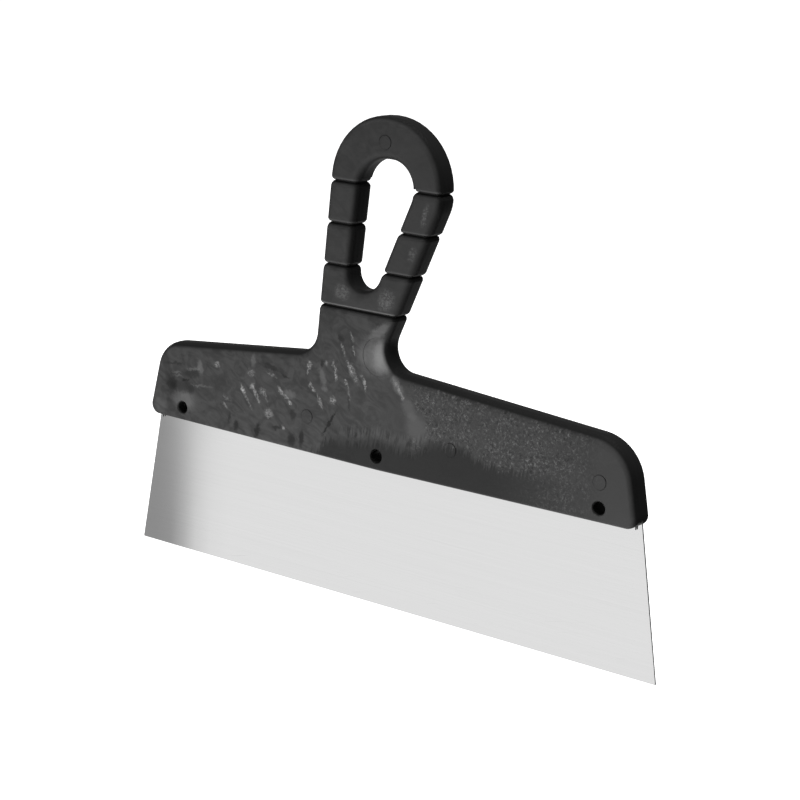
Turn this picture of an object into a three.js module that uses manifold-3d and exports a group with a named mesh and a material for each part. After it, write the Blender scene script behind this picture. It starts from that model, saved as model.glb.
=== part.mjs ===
// Wide scraper: a thin stainless blade moulded into a one-piece black polypropylene
// handle with a grooved finger loop. Millimetres, +X along the blade, front face towards
// -Y, +Z up. The origin is the middle of the scraping edge.
import * as THREE from 'three';
import { mergeVertices } from 'three/addons/utils/BufferGeometryUtils.js';
import Module from 'manifold-3d';

const wasm = await Module();
wasm.setup();

// Blade
const EDGE_WIDTH = 250;
const SIDE_LEAN = 0.167;
const BLADE_THICKNESS = 0.7;
const TANG_TOP = 78;
const ANCHOR_HOLE_X = [20, 50, 78];
const ANCHOR_HOLE_Z = 69.5;
const ANCHOR_HOLE_RADIUS = 4;

// Handle, thickness and edge rounding
const THICKNESS = 10;
const SOFT_EDGE = 3;
const LIP_EDGE = 1;
const SLOT_CLEARANCE = 0.15;
const SLOT_MARGIN = 0.3;

// Handle, holder bar
const LIP_Z = 54.8;
const LIP_RISE = 1.2;
const SHOULDER_CORNER_RADIUS = [13, 18];
const LIP_CORNER_RADIUS = 4.5;
const PIN_HOLE_RADIUS = 2.45;
const PIN_HOLES = [[-99.9, 61.1], [0, 60.4], [99.9, 61.1]];

// Handle, loop
const LOOP_TOP = 189.3;
const OPENING_TOP = 173.3;
const OPENING_BOTTOM = 122.8;
const ARCH_RADIUS = 26;
const GROOVE_PITCH = 16;
const NECK_GROOVE_Z = 115;
const GROOVE_DEPTH = 1.5;

// The four long walls of the two grip bars. The left bar is nearly upright and the
// right one leans, so the loop sits to one side of the blade's centre line.
const leftOuter = (z) => -27.3 - 0.0764 * (161.7 - z);
const leftInner = (z) => -13.1 - 0.0985 * (160.2 - z);
const rightInner = (z) => 12.1 - 0.4254 * (162.2 - z);
const rightOuter = (z) => 7.2 + 0.4254 * (z - 115);

// A closed outline from corners [x, z, radius, edge]. edge is how much the face edge is
// rounded along the side that leaves the corner.
function filleted(corners, step = Math.PI / 15) {
  const points = [];
  corners.forEach(([x, z, radius, edge], i) => {
    const before = corners[(i + corners.length - 1) % corners.length];
    const after = corners[(i + 1) % corners.length];
    const at = new THREE.Vector2(x, z);
    const back = new THREE.Vector2(before[0], before[1]).sub(at).normalize();
    const ahead = new THREE.Vector2(after[0], after[1]).sub(at).normalize();
    const inside = Math.acos(THREE.MathUtils.clamp(back.dot(ahead), -1, 1));
    if (radius === 0) {
      points.push({ x, z, edge });
      return;
    }
    const reach = radius / Math.tan(inside / 2);
    const turn = Math.PI - inside;
    const count = Math.max(2, Math.ceil(turn / step));
    const start = at.clone().addScaledVector(back, reach);
    const side = Math.sign(back.cross(ahead));
    const normal = new THREE.Vector2(-back.y, back.x).multiplyScalar(side);
    const centre = start.clone().addScaledVector(normal, radius);
    const arm = start.clone().sub(centre);
    for (let k = 0; k <= count; k += 1) {
      const a = -side * turn * (k / count);
      const p = arm.clone().rotateAround(new THREE.Vector2(0, 0), a).add(centre);
      points.push({ x: p.x, z: p.y, edge: THREE.MathUtils.lerp(before[3], edge, k / count) });
    }
  });
  return points;
}

// The outline moved towards the material by the amount that inset gives for each point.
function insetLoop(loop, inset) {
  return loop.map((p, i) => {
    const a = loop[(i + loop.length - 1) % loop.length];
    const b = loop[(i + 1) % loop.length];
    const n1 = new THREE.Vector2(-(p.z - a.z), p.x - a.x).normalize();
    const n2 = new THREE.Vector2(-(b.z - p.z), b.x - p.x).normalize();
    const miter = n1.clone().add(n2);
    miter.multiplyScalar(inset(p) / (1 + n1.dot(n2)));
    return new THREE.Vector2(p.x + miter.x, p.z + miter.y);
  });
}

// A flat plate across Y whose outline and holes have rounded face edges. The outline runs
// counter-clockwise as seen from the front and holes run clockwise.
function roundedPlate(loops, thickness, levels = 3) {
  const half = thickness / 2;
  const positions = [];
  const index = [];
  const starts = [];
  const rings = 2 * (levels + 1);
  loops.forEach((loop) => {
    starts.push(positions.length / 3);
    for (let r = 0; r < rings; r += 1) {
      const front = r <= levels;
      const step = front ? r : rings - 1 - r;
      const a = (Math.PI / 2) * (1 - step / levels);
      const moved = insetLoop(loop, (p) => p.edge * (1 - Math.cos(a)));
      moved.forEach((q, i) => {
        const y = half - loop[i].edge * (1 - Math.sin(a));
        positions.push(q.x, front ? -y : y, q.y);
      });
    }
    const first = starts[starts.length - 1];
    const n = loop.length;
    for (let r = 0; r < rings - 1; r += 1) {
      for (let i = 0; i < n; i += 1) {
        const a = first + r * n + i;
        const b = first + r * n + ((i + 1) % n);
        index.push(a, a + n, b, b, a + n, b + n);
      }
    }
  });
  const caps = loops.map((loop) => insetLoop(loop, (p) => p.edge));
  const triangles = THREE.ShapeUtils.triangulateShape(caps[0], caps.slice(1));
  const flat = [];
  loops.forEach((loop, k) => loop.forEach((p, i) => flat.push(starts[k] + i)));
  const lastRing = [];
  loops.forEach((loop, k) => {
    loop.forEach((p, i) => lastRing.push(starts[k] + (rings - 1) * loop.length + i));
  });
  triangles.forEach(([a, b, c]) => {
    index.push(flat[a], flat[b], flat[c]);
    index.push(lastRing[a], lastRing[c], lastRing[b]);
  });
  const geometry = new THREE.BufferGeometry();
  geometry.setAttribute('position', new THREE.Float32BufferAttribute(positions, 3));
  geometry.setIndex(index);
  return geometry;
}

// A three.js geometry as a manifold-3d solid, and back.
function solid(source) {
  const plain = source.clone();
  plain.deleteAttribute('normal');
  plain.deleteAttribute('uv');
  const merged = mergeVertices(plain, 1e-4);
  const mesh = new wasm.Mesh({
    numProp: 3,
    vertProperties: new Float32Array(merged.attributes.position.array),
    triVerts: new Uint32Array(merged.index.array),
  });
  return new wasm.Manifold(mesh);
}

function surface(body) {
  const mesh = body.getMesh();
  const geometry = new THREE.BufferGeometry();
  geometry.setAttribute('position', new THREE.BufferAttribute(mesh.vertProperties, 3));
  geometry.setIndex(new THREE.BufferAttribute(mesh.triVerts, 1));
  return geometry;
}

// A round bar along Y.
function crossBar(x, z, radius, length, sides = 24) {
  const bar = new THREE.CylinderGeometry(radius, radius, length, sides);
  bar.translate(x, 0, z);
  return solid(bar);
}

// A flat shape in the XZ plane, thick across Y.
function flatPlate(corners, thickness) {
  const shape = new THREE.Shape(corners.map(([x, z]) => new THREE.Vector2(x, z)));
  const options = { depth: thickness, bevelEnabled: false };
  const plate = new THREE.ExtrudeGeometry(shape, options);
  plate.rotateX(Math.PI / 2);
  plate.translate(0, thickness / 2, 0);
  return plate;
}

// The blade's outline, wider than the steel by margin where it sits in the handle.
function bladeCorners(bottom, top, margin) {
  const halfWidth = (z) => EDGE_WIDTH / 2 - SIDE_LEAN * z + margin;
  return [
    [-halfWidth(bottom), bottom],
    [halfWidth(bottom), bottom],
    [halfWidth(top - 8), top - 8],
    [halfWidth(top) - 8, top],
    [-halfWidth(top) + 8, top],
    [-halfWidth(top - 8), top - 8],
  ];
}

function anchorPositions() {
  return ANCHOR_HOLE_X.flatMap((x) => [[-x, ANCHOR_HOLE_Z], [x, ANCHOR_HOLE_Z]]);
}

function makeBlade() {
  let body = solid(flatPlate(bladeCorners(0, TANG_TOP, 0), BLADE_THICKNESS));
  anchorPositions().forEach(([x, z]) => {
    body = body.subtract(crossBar(x, z, ANCHOR_HOLE_RADIUS, 4));
  });
  return surface(body);
}

// One grip groove: a ring that follows the bar's rounded section at height z, with a
// narrow root and rounded lips.
function grooveRing(left, right, z) {
  const profile = [
    [0.5, 2.1], [-0.14, 1.2], [-0.5, 0.62], [-GROOVE_DEPTH, 0.14],
    [-GROOVE_DEPTH, -0.14], [-0.5, -0.62], [-0.14, -1.2], [0.5, -2.1],
  ];
  const quarter = 3;
  const positions = [];
  const index = [];
  const half = THICKNESS / 2 - SOFT_EDGE;
  const count = 4 * (quarter + 1);
  profile.forEach(([out, dz]) => {
    const radius = SOFT_EDGE + out;
    for (let c = 0; c < 4; c += 1) {
      const sx = c === 0 || c === 3 ? 1 : -1;
      const sy = c < 2 ? 1 : -1;
      for (let k = 0; k <= quarter; k += 1) {
        const a = (Math.PI / 2) * (c + k / quarter);
        const edge = sx > 0 ? right(z + dz) - SOFT_EDGE : left(z + dz) + SOFT_EDGE;
        const y = sy * half + radius * Math.sin(a);
        positions.push(edge + radius * Math.cos(a), y, z + dz);
      }
    }
  });
  for (let p = 0; p < profile.length; p += 1) {
    const here = p * count;
    const next = ((p + 1) % profile.length) * count;
    for (let i = 0; i < count; i += 1) {
      const j = (i + 1) % count;
      index.push(here + i, here + j, next + i, here + j, next + j, next + i);
    }
  }
  const ring = new THREE.BufferGeometry();
  ring.setAttribute('position', new THREE.Float32BufferAttribute(positions, 3));
  ring.setIndex(index);
  return solid(ring);
}

function handleOutline() {
  const shoulderLeft = (x) => 94.7 + 0.1108 * (x + 39.9);
  const shoulderRight = (x) => 93.9 - 0.0706 * (x - 12.1);
  return filleted([
    [0, LIP_Z, 0, LIP_EDGE],
    [116.7, LIP_Z + LIP_RISE, LIP_CORNER_RADIUS, SOFT_EDGE],
    [110.7, shoulderRight(110.7), SHOULDER_CORNER_RADIUS[1], SOFT_EDGE],
    [-1.4, shoulderRight(-1.4), 9, SOFT_EDGE],
    [25.6, 158.3, 14, SOFT_EDGE],
    [25.6, LOOP_TOP, ARCH_RADIUS, SOFT_EDGE],
    [leftOuter(LOOP_TOP), LOOP_TOP, ARCH_RADIUS, SOFT_EDGE],
    [leftOuter(95.5), shoulderLeft(leftOuter(95.5)), 10, SOFT_EDGE],
    [-112.2, shoulderLeft(-112.2), SHOULDER_CORNER_RADIUS[0], SOFT_EDGE],
    [-119.2, LIP_Z + LIP_RISE, LIP_CORNER_RADIUS, LIP_EDGE],
  ]);
}

// The finger opening, a leaning egg with its narrow end down.
function handleOpening() {
  return filleted([
    [rightInner(OPENING_BOTTOM), OPENING_BOTTOM, 8, SOFT_EDGE],
    [leftInner(OPENING_BOTTOM), OPENING_BOTTOM, 6, SOFT_EDGE],
    [leftInner(OPENING_TOP), OPENING_TOP, 12.2, SOFT_EDGE],
    [rightInner(OPENING_TOP), OPENING_TOP, 10.4, SOFT_EDGE],
  ]);
}

// The cavity round the hidden tang, less the plugs of plastic that fill its anchor holes.
function tangCavity() {
  const width = BLADE_THICKNESS + 2 * SLOT_CLEARANCE;
  const corners = bladeCorners(LIP_Z - 4, TANG_TOP + SLOT_MARGIN, SLOT_MARGIN);
  let cavity = solid(flatPlate(corners, width));
  anchorPositions().forEach(([x, z]) => {
    cavity = cavity.subtract(crossBar(x, z, ANCHOR_HOLE_RADIUS - SLOT_MARGIN, 4));
  });
  return cavity;
}

function makeHandle() {
  let body = solid(roundedPlate([handleOutline(), handleOpening()], THICKNESS));
  body = body.subtract(tangCavity());
  PIN_HOLES.forEach(([x, z]) => {
    body = body.subtract(crossBar(x, z, PIN_HOLE_RADIUS, THICKNESS + 2));
  });
  body = body.subtract(grooveRing(leftOuter, rightOuter, NECK_GROOVE_Z));
  [1, 2].forEach((n) => {
    const z = NECK_GROOVE_Z + n * GROOVE_PITCH;
    body = body.subtract(grooveRing(leftOuter, leftInner, z));
    body = body.subtract(grooveRing(rightInner, rightOuter, z));
  });
  const archZ = NECK_GROOVE_Z + 3 * GROOVE_PITCH;
  body = body.subtract(grooveRing(leftOuter, () => -12.9, archZ));
  body = body.subtract(grooveRing(() => 11.7, () => 26, archZ));
  return surface(body);
}

function piece(name, geometry, material) {
  const mesh = new THREE.Mesh(geometry, material);
  mesh.name = name;
  return mesh;
}

const steel = new THREE.MeshStandardMaterial({
  color: 0xd6d6d6,
  roughness: 0.3,
  metalness: 1,
});
const plastic = new THREE.MeshStandardMaterial({
  color: 0x262626,
  roughness: 0.45,
  metalness: 0,
});

const scraper = new THREE.Group();
scraper.add(piece('blade', makeBlade(), steel));
scraper.add(piece('handle', makeHandle(), plastic));

export default scraper;
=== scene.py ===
from math import acos, ceil, cos, pi, radians, sin, tan

import bmesh
import bpy
from mathutils import Matrix, Vector


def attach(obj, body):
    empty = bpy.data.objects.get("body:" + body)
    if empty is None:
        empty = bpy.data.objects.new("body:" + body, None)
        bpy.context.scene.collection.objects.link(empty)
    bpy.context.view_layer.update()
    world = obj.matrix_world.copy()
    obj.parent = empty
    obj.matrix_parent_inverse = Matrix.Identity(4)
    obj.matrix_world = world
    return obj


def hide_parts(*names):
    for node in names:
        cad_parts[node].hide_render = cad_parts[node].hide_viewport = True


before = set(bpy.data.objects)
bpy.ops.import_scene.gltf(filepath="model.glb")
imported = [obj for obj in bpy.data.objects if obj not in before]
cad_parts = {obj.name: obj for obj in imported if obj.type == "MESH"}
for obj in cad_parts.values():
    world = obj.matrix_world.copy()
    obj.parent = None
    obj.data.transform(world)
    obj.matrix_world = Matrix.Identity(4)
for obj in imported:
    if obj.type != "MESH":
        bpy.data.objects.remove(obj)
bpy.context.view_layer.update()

# Camera. A long lens a little above the blade and well round to its right, so the front
# face shows with the loop's thickness to its right. It leans by about two degrees.
camera_data = bpy.data.cameras.new("camera")
camera_data.lens = 100
camera_data.sensor_width = 36
camera_data.clip_end = 100
camera_data.shift_x, camera_data.shift_y = -0.000625, 0.000625
camera = bpy.data.objects.new("camera", camera_data)
bpy.context.collection.objects.link(camera)
turn, rise, lean = radians(36.96), radians(14.18), radians(2.167)
towards = Vector((sin(turn) * cos(rise), -cos(turn) * cos(rise), sin(rise)))
across = (-towards).cross(Vector((0, 0, 1))).normalized()
upwards = across.cross(-towards)
across, upwards = (
    across * cos(lean) + upwards * sin(lean),
    upwards * cos(lean) - across * sin(lean),
)
stand = Vector((0.00695, 0, 0.08267)) + towards * 0.8374
camera.matrix_world = Matrix((
    (across.x, upwards.x, towards.x, stand.x),
    (across.y, upwards.y, towards.y, stand.y),
    (across.z, upwards.z, towards.z, stand.z),
    (0, 0, 0, 1),
))
bpy.context.scene.camera = camera
bpy.context.scene.view_settings.view_transform = "Standard"


# The blade. One sheet of rolled stainless, 0.7 mm thick, sheared to a trapezium, with
# its edges only just broken. Its upper part is moulded into the handle, where plugs of
# plastic fill its holes.
def flat_plate(corners, y0, y1):
    """A bmesh plate across Y from y0 to y1 with these corners (x, z)."""
    bm = bmesh.new()
    bm.faces.new([bm.verts.new((x, y0, z)) for x, z in corners])
    grown = bmesh.ops.extrude_face_region(bm, geom=bm.faces[:])["geom"]
    far_side = [g for g in grown if isinstance(g, bmesh.types.BMVert)]
    bmesh.ops.translate(bm, vec=(0, y1 - y0, 0), verts=far_side)
    return bm


def finish_mesh(bm, name):
    """Turns the bmesh, drawn in millimetres, into an object in metres."""
    bmesh.ops.scale(bm, vec=(0.001, 0.001, 0.001), verts=bm.verts)
    bmesh.ops.recalc_face_normals(bm, faces=bm.faces)
    mesh = bpy.data.meshes.new(name)
    bm.to_mesh(mesh)
    bm.free()
    piece = bpy.data.objects.new(name, mesh)
    bpy.context.collection.objects.link(piece)
    return piece


def cylinder_across(x, z, radius, y0, y1, segments=48):
    """A bmesh cylinder along Y from y0 to y1."""
    bm = bmesh.new()
    bmesh.ops.create_cone(
        bm, cap_ends=True, segments=segments, radius1=radius, radius2=radius, depth=y1 - y0
    )
    bmesh.ops.rotate(bm, cent=(0, 0, 0), matrix=Matrix.Rotation(pi / 2, 3, "X"), verts=bm.verts)
    bmesh.ops.translate(bm, vec=(x, (y0 + y1) / 2, z), verts=bm.verts)
    return bm


def combine(piece, tools, operation):
    """Joins the tool objects to the piece, or cuts them from it, and removes them."""
    for tool in tools:
        change = piece.modifiers.new("combine", "BOOLEAN")
        change.operation = operation
        change.solver = "EXACT"
        change.object = tool
    depsgraph = bpy.context.evaluated_depsgraph_get()
    made = bpy.data.meshes.new_from_object(piece.evaluated_get(depsgraph))
    piece.modifiers.clear()
    old = piece.data
    name = old.name
    piece.data = made
    bpy.data.meshes.remove(old)
    made.name = name
    for tool in tools:
        bpy.data.objects.remove(tool)


edge_half = 125.0
side_lean = 0.167
sheet = 0.7
broken_edge = 0.07
tang_top = 78.0
clip = 8.0  # the tang's upper corners
tang_half = edge_half - side_lean * (tang_top - clip)
anchor_holes = [(side * x, 69.5) for x in (20, 50, 78) for side in (-1, 1)]
anchor_radius = 4

bm = flat_plate([
    (-edge_half, 0),
    (edge_half, 0),
    (tang_half, tang_top - clip),
    (tang_half - clip, tang_top),
    (clip - tang_half, tang_top),
    (-tang_half, tang_top - clip),
], -sheet / 2, sheet / 2)
bmesh.ops.bevel(
    bm, geom=bm.edges[:], affect="EDGES", offset=broken_edge, segments=2, profile=0.5,
    material=-1,
)
blade = finish_mesh(bm, "blade_sheet")
combine(blade, [
    finish_mesh(cylinder_across(x, z, anchor_radius, -2, 2), "anchor_hole")
    for x, z in anchor_holes
], "DIFFERENCE")


def node(tree, kind, settings=None, **inputs):
    """Adds a shader node. Inputs go by name, or by number as i0, i1 and so on. An input
    given as a socket is linked, and any other is its value."""
    made = tree.nodes.new(kind)
    for key, value in (settings or {}).items():
        setattr(made, key, value)
    for key, value in inputs.items():
        which = int(key[1:]) if key[1:].isdigit() else key.replace("_", " ")
        if isinstance(value, bpy.types.NodeSocket):
            tree.links.new(value, made.inputs[which])
        else:
            made.inputs[which].default_value = value
    return made


def calc(tree, operation, a, b=0.0, c=0.0, clamp=False):
    """One Math node's output."""
    settings = {"operation": operation, "use_clamp": clamp}
    return node(tree, "ShaderNodeMath", settings, i0=a, i1=b, i2=c).outputs[0]


def ramp(tree, value, low, high, out_low=0.0, out_high=1.0):
    """A smooth step of value from low to high."""
    step = node(
        tree, "ShaderNodeMapRange", {"interpolation_type": "SMOOTHSTEP"},
        Value=value, From_Min=low, From_Max=high, To_Min=out_low, To_Max=out_high,
    )
    return step.outputs[0]


def noise(tree, vector, scale, detail=2.0, roughness=0.5, distortion=0.0):
    """A noise value from 0 to 1."""
    made = node(
        tree, "ShaderNodeTexNoise", {"noise_dimensions": "3D"},
        Vector=vector, Scale=scale, Detail=detail, Roughness=roughness, Distortion=distortion,
    )
    return made.outputs[0]


def placed(tree, scale=(1, 1, 1), turn=0.0):
    """The piece's own coordinates in millimetres, turned about Y and stretched."""
    place = node(tree, "ShaderNodeTexCoord").outputs["Object"]
    turned = node(
        tree, "ShaderNodeMapping", {"vector_type": "POINT"},
        Vector=place, Rotation=(0, turn, 0), Scale=(1000, 1000, 1000),
    ).outputs[0]
    return node(tree, "ShaderNodeMapping", Vector=turned, Scale=scale).outputs[0]


def new_material(name):
    """A material with one Principled shader, and its tree and shader."""
    material = bpy.data.materials.new(name)
    material.use_nodes = True
    tree = material.node_tree
    return material, tree, tree.nodes["Principled BSDF"]


# Rolled stainless: a satin mirror with hair-fine rolling lines along the sheet, faint
# cloudy smears from handling, and a few short scratches near the working edge.
steel, tree, shader = new_material("stainless_sheet")
rolling = noise(tree, placed(tree, (0.012, 1, 5.0)), 1.0, 4.0, 0.65)
smear = noise(tree, placed(tree, (0.02, 1, 0.035)), 1.0, 3.0, 0.55, 0.6)
scratch_lines = noise(tree, placed(tree, (0.05, 1, 3.2), 0.25), 1.0, 2.0, 0.5)
scratches = ramp(tree, scratch_lines, 0.70, 0.76)
height = node(tree, "ShaderNodeSeparateXYZ", Vector=placed(tree)).outputs[2]
near_edge = ramp(tree, height, 2.0, 22.0, 1.0, 0.15)
scratches = calc(tree, "MULTIPLY", scratches, near_edge)
steel_dark, steel_light = 0.70, 0.735
tone = ramp(tree, rolling, 0.2, 0.8, steel_dark, steel_light)
tone = calc(tree, "MULTIPLY_ADD", scratches, -0.05, tone)
colour = node(tree, "ShaderNodeCombineColor", i0=tone, i1=tone, i2=tone).outputs[0]
rough = calc(tree, "MULTIPLY_ADD", ramp(tree, smear, 0.3, 0.7), 0.03, 0.09)
rough = calc(tree, "MULTIPLY_ADD", scratches, 0.12, rough)
relief = calc(tree, "MULTIPLY_ADD", scratches, -0.6, rolling)
bump = node(tree, "ShaderNodeBump", Strength=0.05, Distance=0.00005, Height=relief)
tree.links.new(colour, shader.inputs["Base Color"])
tree.links.new(rough, shader.inputs["Roughness"])
tree.links.new(bump.outputs[0], shader.inputs["Normal"])
shader.inputs["Metallic"].default_value = 1.0
blade.data.materials.append(steel)
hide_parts("blade")
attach(blade, "root")


# The handle. One injection moulding in black polypropylene, shot round the blade: the
# holder bar, the neck and a loop. Its grip is cut into pillows by soft grooves, and the
# two halves of the mould leave a faint ridge round the middle of its thickness.
thick = 9.99
soft = 3.0  # how far the face edges are rounded
brow = 4.0  # the same on the two shoulders
lip = 1.0  # the same along the lip, where the blade comes out
ridge = 0.05
loop_top = 189.3
opening_top, opening_low = 173.3, 122.8
groove_heights = neck_groove, low_groove, high_groove, arch_groove = 115, 131, 147, 163


# The four long walls of the grip bars, and the tops of the two shoulders.
def left_outer(z):
    return -27.3 - 0.0764 * (161.7 - z)


def left_inner(z):
    return -13.1 - 0.0985 * (160.2 - z)


def right_inner(z):
    return 12.1 - 0.4254 * (162.2 - z)


def right_outer(z):
    return 7.2 + 0.4254 * (z - neck_groove)


def shoulder_left(x):
    return 94.7 + 0.1108 * (x + 39.9)


def shoulder_right(x):
    return 93.9 - 0.0706 * (x - 12.1)


def draw_outline(bm, corners, facet=radians(7)):
    """Draws a closed outline from corners (x, z, radius, soft). Each rounded corner is an
    arc spun from its first point. soft is how far the face edge is rounded along the side
    that leaves the corner. Returns the points in order, each with the soft values of the
    sides before and after it."""
    points = []
    for i, (x, z, radius, leaving) in enumerate(corners):
        arriving = corners[i - 1][3]
        here = Vector((x, 0, z))
        back = (Vector((corners[i - 1][0], 0, corners[i - 1][1])) - here).normalized()
        following = corners[(i + 1) % len(corners)]
        ahead = (Vector((following[0], 0, following[1])) - here).normalized()
        inside = acos(max(-1, min(1, back.dot(ahead))))
        if radius == 0:
            points.append((bm.verts.new(here), arriving, leaving))
            continue
        first = bm.verts.new(here + back * (radius / tan(inside / 2)))
        middle = here + (back + ahead).normalized() * (radius / sin(inside / 2))
        swing = pi - inside
        side = 1 if back.cross(ahead).y > 0 else -1
        bmesh.ops.spin(
            bm, geom=[first], cent=middle, axis=(0, -side, 0), dvec=(0, 0, 0),
            angle=swing, steps=max(3, ceil(swing / facet)), use_merge=False,
            use_normal_flip=False, use_duplicate=False,
        )
        arc = [first]
        while onward := [
            e.other_vert(arc[-1]) for e in arc[-1].link_edges if e.other_vert(arc[-1]) not in arc
        ]:
            arc.append(onward[0])
        for k, v in enumerate(arc):
            mixed = arriving + (leaving - arriving) * k / (len(arc) - 1)
            points.append((v, mixed, mixed))
    for i, (v, _, _) in enumerate(points):
        after = points[(i + 1) % len(points)][0]
        if bm.edges.get((v, after)) is None:
            bm.edges.new((v, after))
    return points


def extrude_levels(bm, places):
    """Extrudes all the edges through the levels in places. Each level is a list of where
    every vertex goes. Returns the first and the last level's edges."""
    order = bm.verts.layers.int.new("order")
    bm.verts.ensure_lookup_table()
    for i, v in enumerate(bm.verts):
        v[order] = i
        v.co = places[0][i]
    first = last = bm.edges[:]
    for level in places[1:]:
        grown = bmesh.ops.extrude_edge_only(bm, edges=last)["geom"]
        new = {g for g in grown if isinstance(g, bmesh.types.BMVert)}
        edges = [g for g in grown if isinstance(g, bmesh.types.BMEdge)]
        last = [e for e in edges if new.issuperset(e.verts)]
        for v in new:
            v.co = level[v[order]]
    return first, last


outer_corners = [
    (0, 54.8, 0, lip),
    (116.7, 56.0, 4.5, soft),
    (110.7, shoulder_right(110.7), 18, brow),
    (-1.4, shoulder_right(-1.4), 9, soft),
    (25.6, 158.3, 14, soft),
    (25.6, loop_top, 26, soft),
    (left_outer(loop_top), loop_top, 26, soft),
    (left_outer(95.5), shoulder_left(left_outer(95.5)), 10, brow),
    (-112.2, shoulder_left(-112.2), 13, soft),
    (-119.2, 56.0, 4.5, lip),
]
opening_corners = [
    (right_inner(opening_low), opening_low, 8, soft),
    (left_inner(opening_low), opening_low, 6, soft),
    (left_inner(opening_top), opening_top, 12.2, soft),
    (right_inner(opening_top), opening_top, 10.4, soft),
]
bm = bmesh.new()
drawn = []
for corners in (outer_corners, opening_corners):
    points = draw_outline(bm, corners)
    for i, (v, before, after) in enumerate(points):
        came = (v.co - points[i - 1][0].co).normalized()
        goes = (points[(i + 1) % len(points)][0].co - v.co).normalized()
        drawn.append((
            v, before, after, Vector((-came.z, 0, came.x)), Vector((-goes.z, 0, goes.x))
        ))
by_vert = {entry[0]: entry for entry in drawn}
drawn = [by_vert[v] for v in bm.verts]
starts = [entry[0].co.copy() for entry in drawn]


def inset_level(share, height, push=0.0):
    """Where every outline point goes: inwards by share of its soft value and by push, and
    to height(soft) across the thickness."""
    places = []
    for (_, before, after, in1, in2), start in zip(drawn, starts):
        d1, d2 = before * share + push, after * share + push
        turned = in1.x * in2.z - in1.z * in2.x
        if abs(turned) > 0.2:
            move = Vector((
                (d1 * in2.z - d2 * in1.z) / turned, 0, (d2 * in1.x - d1 * in2.x) / turned
            ))
        else:
            move = (in1 + in2) * ((d1 + d2) / 2 / (1 + in1.dot(in2)))
        places.append(start + move + Vector((0, height(max(before, after)), 0)))
    return places


quarter = [pi / 2 * k / 8 for k in range(9)]
front = [
    inset_level(1 - cos(pi / 2 - a), lambda r, a=a: -thick / 2 + r * (1 - cos(a)), ridge)
    for a in quarter
]
back = [
    inset_level(1 - cos(pi / 2 - a), lambda r, a=a: thick / 2 - r * (1 - cos(a)), ridge)
    for a in reversed(quarter)
]
middle = [
    inset_level(0, lambda r: -0.2, ridge),
    inset_level(0, lambda r: 0.0, 0.01),
    inset_level(0, lambda r: 0.2, ridge),
]
for rim in extrude_levels(bm, front + middle + back):
    bmesh.ops.triangle_fill(bm, use_beauty=True, use_dissolve=False, edges=rim)
handle = finish_mesh(bm, "handle_body")


def groove(z, left, right):
    """A ring that cuts one groove round the bar between two walls. Its lower lip is
    softer than its upper one."""
    profile = [
        (0.5, 1.75), (0.02, 1.6), (-0.09, 1.3), (-0.24, 0.95), (-0.45, 0.64), (-0.75, 0.38),
        (-1.1, 0.22), (-1.5, 0.13), (-1.5, -0.13), (-1.2, -0.26), (-0.88, -0.48),
        (-0.56, -0.82), (-0.31, -1.25), (-0.13, -1.75), (0.02, -2.3), (0.5, -2.5),
    ]
    bm = bmesh.new()
    places = []
    for out, dz in profile:
        low_x, high_x = left(z + dz) - out, right(z + dz) + out
        half, r = thick / 2 + out, max(soft + out, 0.3)
        loop = []
        for cx, cy, a0 in ((high_x - r, half - r, 0), (low_x + r, half - r, pi / 2),
                           (low_x + r, r - half, pi), (high_x - r, r - half, 1.5 * pi)):
            for k in range(7):
                a = a0 + pi / 2 * k / 6
                loop.append(Vector((cx + r * cos(a), cy + r * sin(a), z + dz)))
        places.append(loop)
    verts = [bm.verts.new(p) for p in places[0]]
    for a, b in zip(verts, verts[1:] + verts[:1]):
        bm.edges.new((a, b))
    first, last = extrude_levels(bm, places)
    bmesh.ops.bridge_loops(bm, edges=first + last)
    return finish_mesh(bm, "groove")


cuts = [groove(neck_groove, left_outer, right_outer)]
for z in (low_groove, high_groove):
    cuts.append(groove(z, left_outer, left_inner))
    cuts.append(groove(z, right_inner, right_outer))
cuts.append(groove(arch_groove, left_outer, lambda z: -12.85))
cuts.append(groove(arch_groove, lambda z: 11.8 + 0.3 * (z - arch_groove), lambda z: 25.6))

# What the mould leaves: the mouth round the blade, three blind holes of the pins that
# held the steel, thin rings round the ejector pins and the round spot opposite the gate.
mouth_half = 0.42
cuts.append(finish_mesh(flat_plate([
    (-117, 50), (117, 50), (113.7, 70.2), (105.6, 78.35), (-105.6, 78.35), (-113.7, 70.2),
], -mouth_half, mouth_half), "mouth"))
pin_holes = [(-99.9, 61.1), (0, 60.4), (99.9, 61.1)]
pin_radius = 2.45
flare_from = 4.4
for x, z in pin_holes:
    for face in (-1, 1):
        low, high = sorted((0.0, face * flare_from))
        pin = cylinder_across(x, z, pin_radius, low, high)
        cap = [f for f in pin.faces if abs(f.calc_center_median().y) > flare_from - 0.1]
        grown = bmesh.ops.extrude_face_region(pin, geom=cap)["geom"]
        bmesh.ops.delete(pin, geom=cap, context="FACES_ONLY")
        flare = [g for g in grown if isinstance(g, bmesh.types.BMVert)]
        around = Matrix.Translation((-x, 0, -z))
        bmesh.ops.translate(pin, vec=(0, face * 1.6, 0), verts=flare)
        bmesh.ops.scale(pin, vec=(1.5, 1, 1.5), space=around, verts=flare)
        cuts.append(finish_mesh(pin, "pin_hole"))
ejector_pins = [(-34.4, 69.6), (34.4, 69.6), (99.7, 70.7), (-0.8, 179.7)]
ring_outside, ring_inside = 2.9, 2.55
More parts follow.
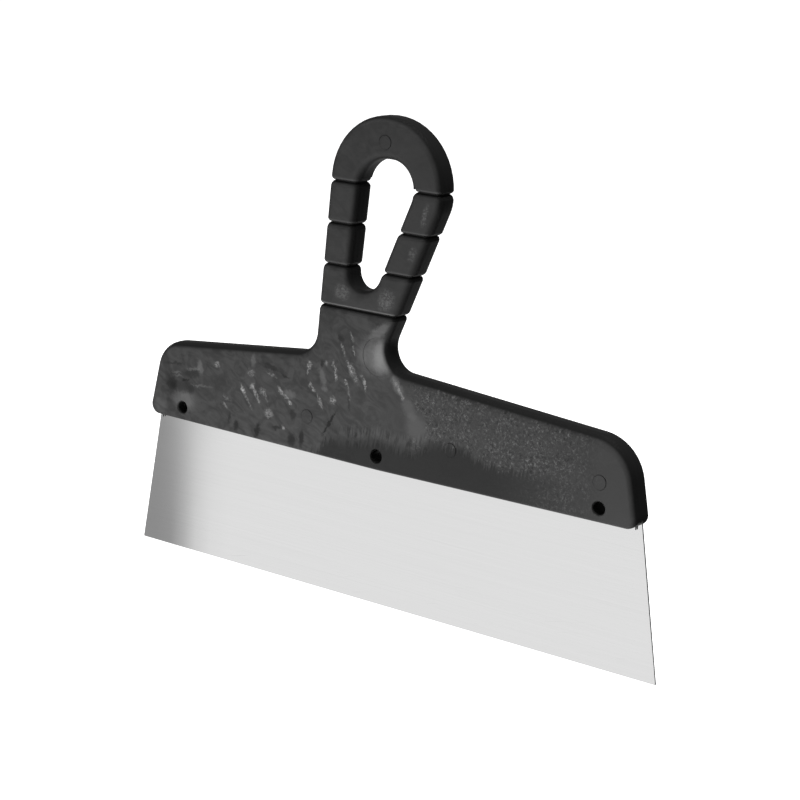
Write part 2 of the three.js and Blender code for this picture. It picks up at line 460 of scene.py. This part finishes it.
for x, z in ejector_pins:
    ring = finish_mesh(cylinder_across(x, z, ring_outside, -5.5, -4.82), "ejector_ring")
    core = finish_mesh(cylinder_across(x, z, ring_inside, -6, -4.5), "ejector_pin")
    combine(ring, [core], "DIFFERENCE")
    centre = Vector((x, -5, z)) / 1000
    tip = Matrix.Rotation(radians(-3.2), 4, Vector((1, 0, -1)))
    ring.data.transform(Matrix.Translation(centre) @ tip @ Matrix.Translation(-centre))
    cuts.append(ring)
gate_radius = 7.6
gate_spot = cylinder_across(-0.3, 98.9, gate_radius, -5.6, -4.84, 72)
cuts.append(finish_mesh(gate_spot, "gate_spot"))
combine(handle, cuts, "DIFFERENCE")
# Two slivers of flash hang beside the blade, at the ends of the lip.
nibs = []
for x, z in ((-114.0, 56.2), (113.2, 57.6)):
    nib = bmesh.new()
    bmesh.ops.create_cone(
        nib, cap_ends=True, segments=10, radius1=0.2, radius2=0.45, depth=4.6
    )
    bmesh.ops.translate(nib, vec=(x, -0.85, z), verts=nib.verts)
    nibs.append(finish_mesh(nib, "flash_nib"))
combine(handle, nibs, "UNION")

bm = bmesh.new()
bm.from_mesh(handle.data)
bmesh.ops.remove_doubles(bm, verts=bm.verts, dist=2e-6)
for face in bm.faces:
    face.smooth = True
bm.to_mesh(handle.data)
bm.free()
handle.data.set_sharp_from_angle(angle=radians(38))
even = handle.modifiers.new("even_shading", "WEIGHTED_NORMAL")
even.keep_sharp = True
even.weight = 80

# Black polypropylene. Cold plastic running from the gate froze into silvery slanting
# flakes left of the neck, a smooth tongue with a frayed end under it and a fine speckle
# along the right, and left darker, glassier plastic above the lip.
blot = bpy.data.node_groups.new("soft_blot", "ShaderNodeTree")
for title, kind in (
    ("Vector", "NodeSocketVector"), ("Place", "NodeSocketVector"),
    ("Lean", "NodeSocketVector"), ("Size", "NodeSocketVector"),
    ("Below", "NodeSocketFloat"), ("Strength", "NodeSocketFloat"),
):
    blot.interface.new_socket(name=title, in_out="INPUT", socket_type=kind)
blot.interface.new_socket(name="Mask", in_out="OUTPUT", socket_type="NodeSocketFloat")
given = blot.nodes.new("NodeGroupInput").outputs
# The hair's breadth of Below in the vector makes the renderer work the blots one by one,
# because it can't hold dozens of them at once.
in_turn = node(
    blot, "ShaderNodeVectorMath", {"operation": "MULTIPLY_ADD"},
    i0=given["Below"], i1=(1e-5, 0.0, 1e-5), i2=given["Vector"],
).outputs[0]
own = node(
    blot, "ShaderNodeMapping", {"vector_type": "TEXTURE"}, Vector=in_turn,
    Location=given["Place"], Rotation=given["Lean"], Scale=given["Size"],
).outputs[0]
far = node(blot, "ShaderNodeVectorMath", {"operation": "LENGTH"}, i0=own).outputs["Value"]
shape = ramp(blot, far, 1.35, 0.45)
total = calc(blot, "MULTIPLY_ADD", shape, given["Strength"], given["Below"])
node(blot, "NodeGroupOutput", Mask=total)


def blots(tree, vector, marks):
    """Adds up soft ellipses on the front face, each (x, z, half width, half height, lean
    in degrees, strength). A positive lean tips the top to the right."""
    total = 0.0
    for x, z, wide, high, tipped, strength in marks:
        total = node(
            tree, "ShaderNodeGroup", {"node_tree": blot}, Vector=vector, Place=(x, -5, z),
            Lean=(0, radians(tipped), 0), Size=(wide, 5, high), Below=total, Strength=strength,
        ).outputs[0]
    return total


plastic, tree, shader = new_material("black_polypropylene")
place = placed(tree)
split = node(tree, "ShaderNodeSeparateXYZ", Vector=place)
px, py, pz = split.outputs
on_face = ramp(tree, calc(tree, "ABSOLUTE", py), 3.9, 4.95)
wander = node(
    tree, "ShaderNodeTexNoise", Vector=place, Scale=0.6, Detail=4.0, Roughness=0.75
).outputs["Color"]
wander = node(
    tree, "ShaderNodeVectorMath", {"operation": "MULTIPLY_ADD"},
    i0=wander, i1=(3.6, 0.0, 3.6), i2=(-1.8, 0.0, -1.8),
).outputs[0]
frayed = node(tree, "ShaderNodeVectorMath", {"operation": "ADD"}, i0=place, i1=wander).outputs[0]
flakes = blots(tree, frayed, [
    (-65.6, 71.6, 0.7, 5.6, -35, 0.55), (-67.6, 74.6, 0.9, 1.8, -25, 0.8),
    (-60.4, 73.3, 0.8, 3.8, -32, 0.9), (-62.6, 76.7, 1.3, 1.6, 0, 0.8),
    (-63.2, 82.0, 2.0, 1.7, 0, 0.5), (-81.3, 82.2, 1.6, 1.3, 0, 0.75),
    (-76.8, 66.2, 0.5, 1.7, -58, 0.75), (-76.2, 69.5, 0.6, 2.2, -70, 0.4),
    (-57.2, 75.6, 1.8, 1.3, 0, 0.5), (-53.8, 67.3, 2.3, 2.0, 0, 0.65),
    (-55.5, 73.5, 0.6, 2.5, -30, 0.4), (-48.0, 77.5, 0.9, 1.9, -40, 1.1),
    (-44.4, 75.0, 0.7, 2.7, -50, 0.8), (-42.9, 73.6, 0.7, 0.8, -50, 1.0),
    (-46.0, 62.8, 1.0, 1.0, 0, 0.8), (-52.5, 82.9, 2.6, 0.6, 10, 0.6),
    (-33.8, 90.2, 1.0, 1.6, 15, 1.2), (-34.4, 87.6, 0.5, 1.7, 15, 0.6),
    (-33.0, 82.5, 1.0, 1.1, -20, 0.7), (-31.4, 81.0, 0.7, 1.2, -40, 1.0),
    (-28.0, 76.6, 0.8, 2.9, -28, 0.85), (-25.4, 92.5, 0.9, 0.9, 0, 0.5),
    (-21.9, 92.8, 0.8, 1.4, -10, 0.85), (-20.7, 89.3, 0.7, 3.0, -9, 1.2),
    (-15.7, 86.8, 0.9, 0.9, 0, 1.2), (-17.2, 98.8, 0.55, 2.5, -28, 0.95),
    (-14.2, 93.2, 0.8, 2.7, -30, 0.85), (-12.2, 90.6, 1.4, 4.6, -30, 0.65),
    (-13.4, 104.4, 0.6, 2.1, -20, 0.75), (-12.2, 99.2, 0.5, 2.1, -15, 0.8),
    (-6.4, 87.3, 0.8, 2.5, -18, 1.0), (-8.2, 90.6, 0.8, 0.6, 0, 0.6),
    (-14.2, 83.6, 0.5, 3.7, -12, 0.45), (-21.8, 78.6, 1.7, 1.6, 0, 0.85),
    (9.2, 88.8, 0.7, 3.9, -38, 0.6), (11.7, 85.5, 0.9, 0.9, 0, 0.6),
    (2.2, 121.0, 3.4, 4.6, 30, 0.34), (-18.8, 121.0, 3.4, 3.2, 0, 0.28),
    (18.5, 155.0, 1.2, 4.2, 15, 0.34), (13.5, 140.0, 1.8, 2.8, 20, 0.22),
])
# Painted sheen: lighter colour on the gate spot, over the neck and in patches round the flakes.
sheen = blots(tree, frayed, [
    (-90.2, 79.2, 1.6, 3.2, -10, 0.45), (-94.0, 78.0, 3.5, 0.6, -8, 0.4),
    (-103.5, 75.2, 3.0, 0.4, -10, 0.4), (-103.0, 74.0, 2.8, 0.4, -10, 0.35),
    (-90.0, 71.9, 6.5, 0.5, -5, 0.35), (-98.8, 64.2, 6.0, 4.4, 0, 0.45),
    (-43.5, 76.8, 2.8, 1.9, 0, 0.4), (-62.4, 86.8, 1.3, 2.9, 0, 0.35),
    (-27.2, 87.0, 1.4, 4.4, -18, 0.4), (-26.0, 82.0, 1.6, 1.1, 0, 0.4),
    (-3.8, 98.8, 6.6, 6.6, 0, 0.55), (1.5, 99.2, 4.6, 7.0, 0, 1.0),
    (0.0, 109.0, 6.0, 2.0, -35, 0.6), (9.0, 89.5, 1.9, 4.5, -38, 0.55),
    (14.5, 82.0, 2.8, 5.0, -35, 0.3), (18.5, 75.0, 5.0, 5.6, -30, 0.3),
    (-112.0, 60.0, 4.0, 3.0, 0, 0.2),
])
gloom = blots(tree, frayed, [
    (-23.3, 68.9, 0.6, 6.2, 31, 0.8), (-41.6, 69.2, 1.8, 2.1, 0, 0.45),
    (-42.0, 59.0, 2.1, 2.7, 5, 0.55), (-36.8, 60.3, 1.2, 3.5, 5, 0.6),
    (-59.6, 59.3, 1.3, 3.5, 15, 0.6), (-70.6, 59.3, 1.3, 2.5, 5, 0.55),
    (-74.3, 61.5, 0.7, 2.6, 8, 0.4), (-49.5, 62.2, 2.5, 0.9, -15, 0.5),
    (-18.7, 103.2, 1.3, 1.7, -40, 0.5), (-27.4, 91.6, 0.8, 1.6, 0, 0.5),
    (-53.5, 86.0, 6.0, 1.2, 12, 0.45), (-45.5, 83.5, 2.3, 0.7, 12, 0.5),
    (-100.0, 70.0, 8.0, 2.6, 0, 0.35), (-106.0, 71.0, 3.2, 5.0, 0, 0.35),
    (-95.0, 76.0, 5.0, 1.7, -5, 0.35), (-104.5, 78.8, 5.5, 0.6, -8, 0.35),
    (-98.0, 73.0, 2.6, 0.5, -8, 0.5), (-13.9, 78.5, 0.6, 3.3, -5, 0.35),
])
# Striations across the flakes, and the frayed upper edge of the dark plastic.
striation = noise(tree, placed(tree, (0.7, 0.5, 2.2), radians(12)), 1.0, 3.0, 0.6)
flakes = calc(tree, "MULTIPLY", flakes, ramp(tree, striation, 0.2, 0.75, 0.4, 1.3))
speck_noise = noise(tree, place, 0.95, 3.0, 0.75, 0.7)
flakes = calc(tree, "MULTIPLY", flakes, ramp(tree, speck_noise, 0.40, 0.60, 0.2, 1.3))
swirl = noise(tree, placed(tree, (0.11, 0.2, 0.2), radians(-25)), 1.0, 2.0, 0.55, 1.8)
swirl = ramp(tree, swirl, 0.3, 0.7, -1.0, 1.0)
swirl = calc(tree, "MULTIPLY", swirl, ramp(tree, px, 20.0, -6.0))
swirl = calc(tree, "MULTIPLY", swirl, ramp(tree, pz, 116.0, 110.0, 0.35, 1.0))
comb = noise(tree, placed(tree, (1.15, 0.3, 0.12), radians(-8)), 1.0, 3.0, 0.65)
# How high the dark plastic reaches, from 50 mm left of the middle to 50 mm right of it:
# 0 is 53 mm above the scraping edge, and 1 is 77 mm.
along = calc(tree, "MULTIPLY_ADD", px, 0.01, 0.5)
dark_top = node(tree, "ShaderNodeValToRGB", Fac=along)
stops = dark_top.color_ramp
dark_heights = [(0.20, 0.10), (0.27, 0.42), (0.42, 0.50), (0.50, 0.56), (0.68, 0.52),
                (0.76, 0.74), (0.90, 0.76), (1.0, 0.60)]
stops.elements[0].color = (0, 0, 0, 1)
for at, up in dark_heights:
    stop = stops.elements.new(at) if at < 1 else stops.elements[-1]
    stop.color = (up, up, up, 1)
edge = calc(tree, "MULTIPLY_ADD", dark_top.outputs[0], 24.0, 53.0)
over = calc(tree, "SUBTRACT", pz, edge)
torn = calc(tree, "MULTIPLY_ADD", comb, -13.0, calc(tree, "ADD", over, 6.5))
fade_right = ramp(tree, px, 100.0, 48.0)
low_zone = calc(tree, "MULTIPLY", ramp(tree, torn, 2.2, -2.0), fade_right)
fringe = calc(tree, "ABSOLUTE", calc(tree, "SUBTRACT", over, 1.5))
fringe = calc(tree, "MULTIPLY", ramp(tree, fringe, 5.5, 1.5), ramp(tree, px, 34.0, 24.0))
fringe = calc(tree, "MULTIPLY", fringe, ramp(tree, px, -26.0, -14.0))
fringe = calc(tree, "MULTIPLY", fringe, ramp(tree, comb, 0.38, 0.62, -1.0, 1.0))
cloud = noise(tree, placed(tree, (0.045, 0.08, 0.08), 0.5), 1.0, 4.0, 0.6, 1.0)
speck_area = calc(tree, "MULTIPLY", ramp(tree, px, 11.0, 22.0), ramp(tree, px, 104.0, 84.0))
speck_area = calc(tree, "MULTIPLY", speck_area, ramp(tree, pz, 98.0, 90.0))
clumps = ramp(tree, noise(tree, place, 0.16, 2.0, 0.6), 0.30, 0.62, 0.3, 1.0)
tongue = blots(tree, frayed, [(17.5, 77.0, 4.6, 8.6, -38, 1.0)])
speck_area = calc(tree, "MULTIPLY", speck_area, calc(tree, "SUBTRACT", clumps, tongue, 0, True))
speck_area = calc(tree, "MULTIPLY", speck_area, calc(tree, "MULTIPLY_ADD", low_zone, -0.9, 1.0))
specks = calc(tree, "MULTIPLY", ramp(tree, speck_noise, 0.50, 0.70), speck_area)
pits = calc(tree, "MULTIPLY", ramp(tree, speck_noise, 0.46, 0.32), speck_area)
holder = ramp(tree, pz, 116.0, 112.0)

tone = calc(tree, "MULTIPLY_ADD", ramp(tree, cloud, 0.25, 0.75), 0.018, 0.044)
tone = calc(tree, "MULTIPLY_ADD", holder, 0.015, tone)
# A painted highlight just above the middle of each groove, strongest at the neck.
for z, groove_highlight in zip(groove_heights, (0.22, 0.08, 0.08, 0.08)):
    above = calc(tree, "ABSOLUTE", calc(tree, "SUBTRACT", pz, z + 0.75))
    tone = calc(tree, "MULTIPLY_ADD", ramp(tree, above, 0.55, 0.15), groove_highlight, tone)
right_end = ramp(tree, px, 92.0, 106.0)
for lighter, amount in (
    (swirl, 0.020), (flakes, 0.30), (sheen, 0.20), (specks, 0.17), (right_end, 0.015)
):
    tone = calc(tree, "MULTIPLY_ADD", lighter, amount, tone)
for darker, amount in ((gloom, 1.4), (low_zone, 0.84)):
    kept = calc(tree, "MULTIPLY_ADD", darker, -amount, 1.0)
    tone = calc(tree, "MULTIPLY", tone, kept)
tone = calc(tree, "MULTIPLY_ADD", fringe, 0.034, tone)
tone = calc(tree, "MULTIPLY", tone, calc(tree, "MULTIPLY_ADD", pits, -0.8, 1.0))
# The roundings and sides take a far darker tone than the flat faces: painted shade.
shaded_side_tone, least_tone = 0.014, 0.004
tone = node(
    tree, "ShaderNodeMapRange", Value=on_face, To_Min=shaded_side_tone, To_Max=tone
).outputs[0]
tone = calc(tree, "MAXIMUM", tone, least_tone)
colour = node(tree, "ShaderNodeCombineColor", i0=tone, i1=tone, i2=tone).outputs[0]
rough = calc(tree, "MULTIPLY_ADD", ramp(tree, cloud, 0.25, 0.75), 0.08, 0.42)
rough = calc(tree, "MULTIPLY_ADD", specks, -0.10, rough)
rough = calc(tree, "MULTIPLY_ADD", low_zone, -0.06, rough)
fine = noise(tree, place, 1.6, 3.0, 0.6)
relief = calc(tree, "MULTIPLY_ADD", speck_noise, calc(tree, "MULTIPLY", speck_area, 2.0), fine)
relief = calc(tree, "MULTIPLY_ADD", flakes, 0.8, relief)
relief = calc(tree, "MULTIPLY_ADD", low_zone, -1.0, relief)
bump = node(tree, "ShaderNodeBump", Strength=0.35, Distance=0.0001, Height=relief)
tree.links.new(colour, shader.inputs["Base Color"])
tree.links.new(rough, shader.inputs["Roughness"])
tree.links.new(bump.outputs[0], shader.inputs["Normal"])
shader.inputs["Specular IOR Level"].default_value = 0.45
shader.inputs["IOR"].default_value = 1.49
handle.data.materials.clear()
handle.data.materials.append(plastic)
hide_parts("handle")
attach(handle, "root")

# The stage. A pale floor that the camera sees, and under it a glowing sheet that lights
# the steel and the plastic from the front left. Neither is part of the scraper.
bm = bmesh.new()
bmesh.ops.create_grid(bm, x_segments=1, y_segments=1, size=30000)
bmesh.ops.translate(bm, vec=(0, 0, -0.2), verts=bm.verts)
floor = finish_mesh(bm, "floor")
floor.visible_glossy = False
floor.visible_diffuse = False
paper, tree, shader = new_material("pale_paper")
shader.inputs["Base Color"].default_value = (0.8, 0.8, 0.8, 1)
shader.inputs["Roughness"].default_value = 0.9
shader.inputs["Emission Color"].default_value = (1, 1, 1, 1)
shader.inputs["Emission Strength"].default_value = 1.0
floor.data.materials.append(paper)

bm = bmesh.new()
glow = bm.verts.layers.float_color.new("glow")


def glow_patch(rows):
    """A sheet of faces between rows of (x, y, brightness) points just under the floor."""
    grid = []
    for row in rows:
        grid.append([bm.verts.new((x, y, -1.0)) for x, y, _ in row])
        for v, (_, _, value) in zip(grid[-1], row):
            v[glow] = (value, value, value, 1)
    for upper, lower in zip(grid, grid[1:]):
        for k in range(len(upper) - 1):
            bm.faces.new((upper[k], upper[k + 1], lower[k + 1], lower[k]))


# In front the columns run away from the camera's side, dark at the left end of the blade
# and bright under the rest. Behind there is a plain patch that keeps clear of the right.
columns = [(-600, 0.30), (-118, 0.36), (-110, 0.40), (-103, 0.58), (-96, 0.84), (-88, 0.97),
           (-78, 1.01), (150, 1.02), (165, 0.6), (190, 0.06)]
glow_patch([
    [(s * (1 + t) - 495 * t, -649 * t - 0.5, value * fade) for s, value in columns]
    for t, fade in ((0.0, 1.0), (0.3, 1.0), (0.6, 1.0), (2.0, 0.85), (6.0, 0.7))
])
glow_patch([
    [(-900, y, value), (0.15 * y, y, value), (70 + 0.25 * y, y, 0.06)]
    for y, value in ((6, 0.42), (400, 0.42), (1200, 0.34), (2600, 0.2))
])
sheet_light = finish_mesh(bm, "glow_sheet")
sheet_light.visible_camera = False
sheet_light.visible_shadow = False
glowing, tree, shader = new_material("glowing_sheet")
level = node(tree, "ShaderNodeAttribute", {"attribute_name": "glow"}).outputs["Color"]
tree.links.new(level, shader.inputs["Emission Color"])
shader.inputs["Emission Strength"].default_value = 1.0
shader.inputs["Base Color"].default_value = (0, 0, 0, 1)
shader.inputs["Specular IOR Level"].default_value = 0
sheet_light.data.materials.append(glowing)


def softbox(name, place, aim, width, height, power, shows=False):
    """A rectangular area light at place that faces aim. shows is whether it's reflected."""
    data = bpy.data.lights.new(name, "AREA")
    data.shape = "RECTANGLE"
    data.size, data.size_y, data.energy = width, height, power
    light = bpy.data.objects.new(name, data)
    bpy.context.collection.objects.link(light)
    light.visible_glossy = shows
    light.location = place
    facing = Vector(aim) - Vector(place)
    light.rotation_euler = facing.to_track_quat("-Z", "Y").to_euler()


softbox("key", (-0.9, -1.3, 0.9), (0, 0, 0.08), 1.0, 0.8, 6)
softbox("top", (0.1, -0.1, 1.5), (0, 0, 0.1), 1.0, 1.0, 24)
softbox("back", (-0.9, 1.2, 0.45), (0, 0, 0.1), 0.9, 0.4, 0.2, True)
world = bpy.data.worlds.new("studio")
bpy.context.scene.world = world
world.use_nodes = True
tree = world.node_tree
rays = node(tree, "ShaderNodeLightPath").outputs["Is Camera Ray"]
level = calc(tree, "MULTIPLY_ADD", rays, 0.94, 0.06)
tree.links.new(level, tree.nodes["Background"].inputs["Strength"])
tree.nodes["Background"].inputs["Color"].default_value = (1, 1, 1, 1)
